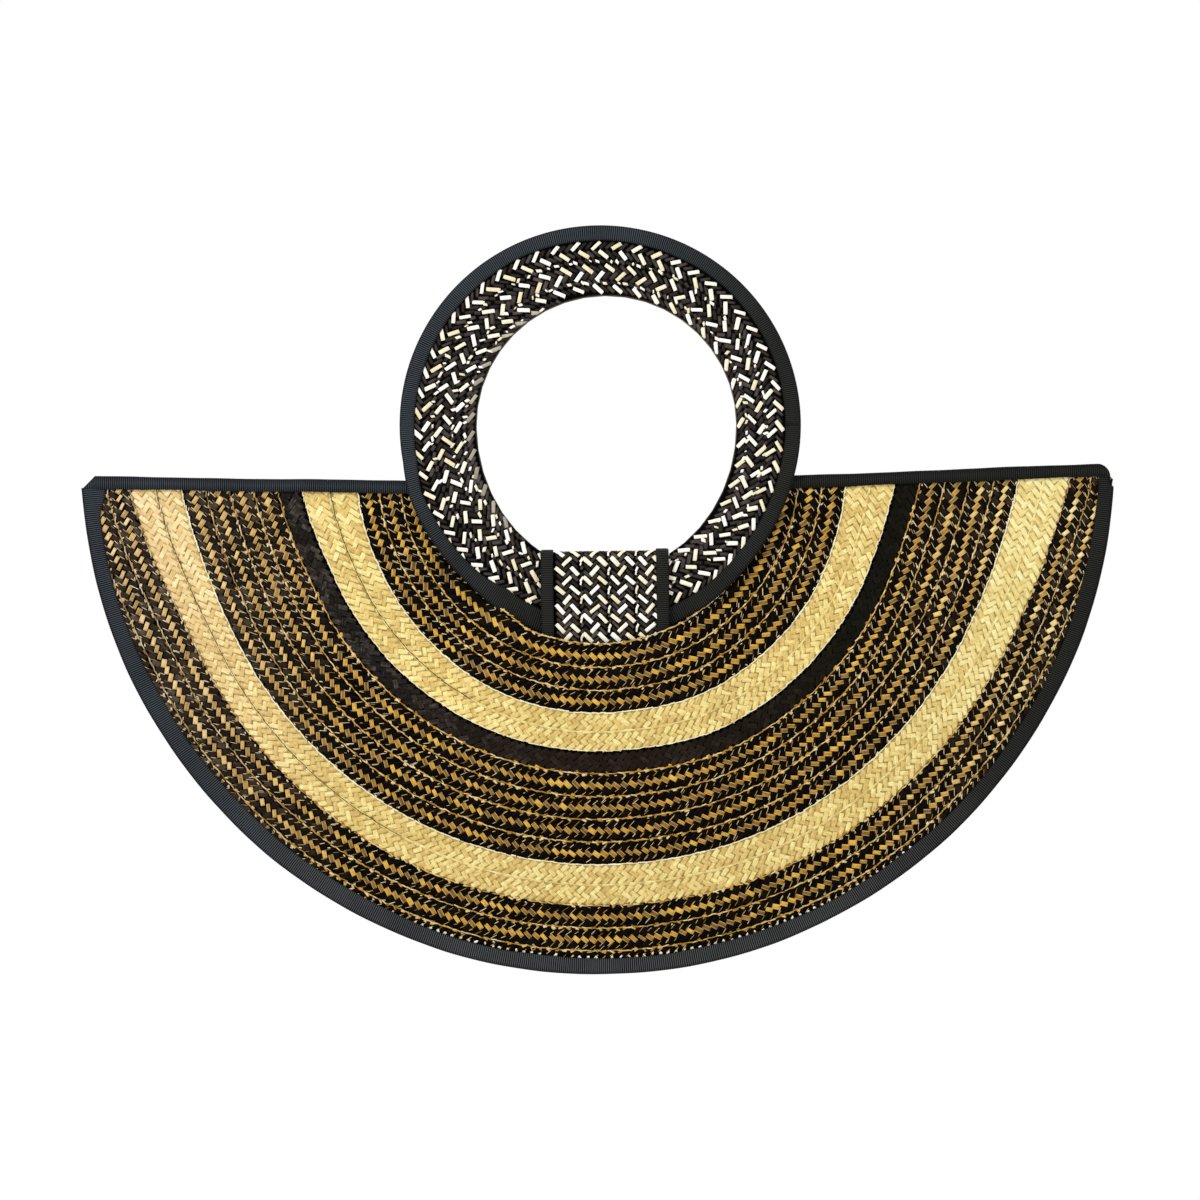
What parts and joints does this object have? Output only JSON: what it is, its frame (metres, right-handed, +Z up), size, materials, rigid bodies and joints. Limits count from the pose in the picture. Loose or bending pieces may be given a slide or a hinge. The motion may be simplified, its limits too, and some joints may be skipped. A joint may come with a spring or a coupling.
{
  "type": "woven handbag",
  "caption": "Half-moon handbag of sewn braid rows with ribbon-bound edges, an open mouth and a ring handle in a folded tab on each panel",
  "frame": {"origin": "where a hand lifts the bag: midway between the two rings, under the top of their holes", "axes": "+X to the right as seen from the front, along the bag's width; the front panel faces -Y; +Z up"},
  "size_m": [0.499, 0.0528, 0.3621],
  "materials": {
    "mixed_braid": "golden brown and black woven braid",
    "cream_braid": "pale straw woven braid",
    "dark_braid": "near-black woven braid",
    "handle_braid": "charcoal braid with cream floats",
    "ribbon": "black ribbed ribbon",
    "lining": "plain dark cloth",
    "ring_core": "stiff board"
  },
  "bodies": {
    "bag": {"front_lining": "lining", "front_row_01_mixed": "mixed_braid", "front_row_02_mixed": "mixed_braid", "front_row_03_mixed": "mixed_braid", "front_row_04_cream": "cream_braid", "front_row_05_cream": "cream_braid", "front_row_06_dark": "dark_braid", "front_row_07_mixed": "mixed_braid", "front_row_08_mixed": "mixed_braid", "front_row_09_mixed": "mixed_braid", "front_row_10_mixed": "mixed_braid", "front_row_11_cream": "cream_braid", "front_row_12_cream": "cream_braid", "front_row_13_mixed": "mixed_braid", "front_row_14_mixed": "mixed_braid", "front_row_15_mixed": "mixed_braid", "front_top_binding_left": "ribbon", "front_top_binding_right": "ribbon", "front_tab_tail": "handle_braid", "back_lining": "lining", "back_row_01_mixed": "mixed_braid", "back_row_02_mixed": "mixed_braid", "back_row_03_mixed": "mixed_braid", "back_row_04_cream": "cream_braid", "back_row_05_cream": "cream_braid", "back_row_06_dark": "dark_braid", "back_row_07_mixed": "mixed_braid", "back_row_08_mixed": "mixed_braid", "back_row_09_mixed": "mixed_braid", "back_row_10_mixed": "mixed_braid", "back_row_11_cream": "cream_braid", "back_row_12_cream": "cream_braid", "back_row_13_mixed": "mixed_braid", "back_row_14_mixed": "mixed_braid", "back_row_15_mixed": "mixed_braid", "back_top_binding_left": "ribbon", "back_top_binding_right": "ribbon", "back_tab_tail": "handle_braid", "curved_binding": "ribbon"},
    "front_handle": {"front_ring_core": "ring_core", "front_ring_outer_braid": "handle_braid", "front_ring_inner_braid": "handle_braid", "front_ring_binding": "ribbon", "front_tab_braid": "handle_braid", "front_tab_ribbon_left": "ribbon", "front_tab_ribbon_right": "ribbon"},
    "back_handle": {"back_ring_core": "ring_core", "back_ring_outer_braid": "handle_braid", "back_ring_inner_braid": "handle_braid", "back_ring_binding": "ribbon", "back_tab_braid": "handle_braid", "back_tab_ribbon_left": "ribbon", "back_tab_ribbon_right": "ribbon"}
  },
  "joints": [
    {"name": "front_handle_swing", "type": "hinge", "parent": "bag", "child": "front_handle", "pos_m": [0, -0.02517, -0.16069], "axis": [1, 0, 0], "range_deg": [0, 160]},
    {"name": "back_handle_swing", "type": "hinge", "parent": "bag", "child": "back_handle", "pos_m": [0, 0.02517, -0.16069], "axis": [-1, 0, 0], "range_deg": [0, 160]}
  ]
}
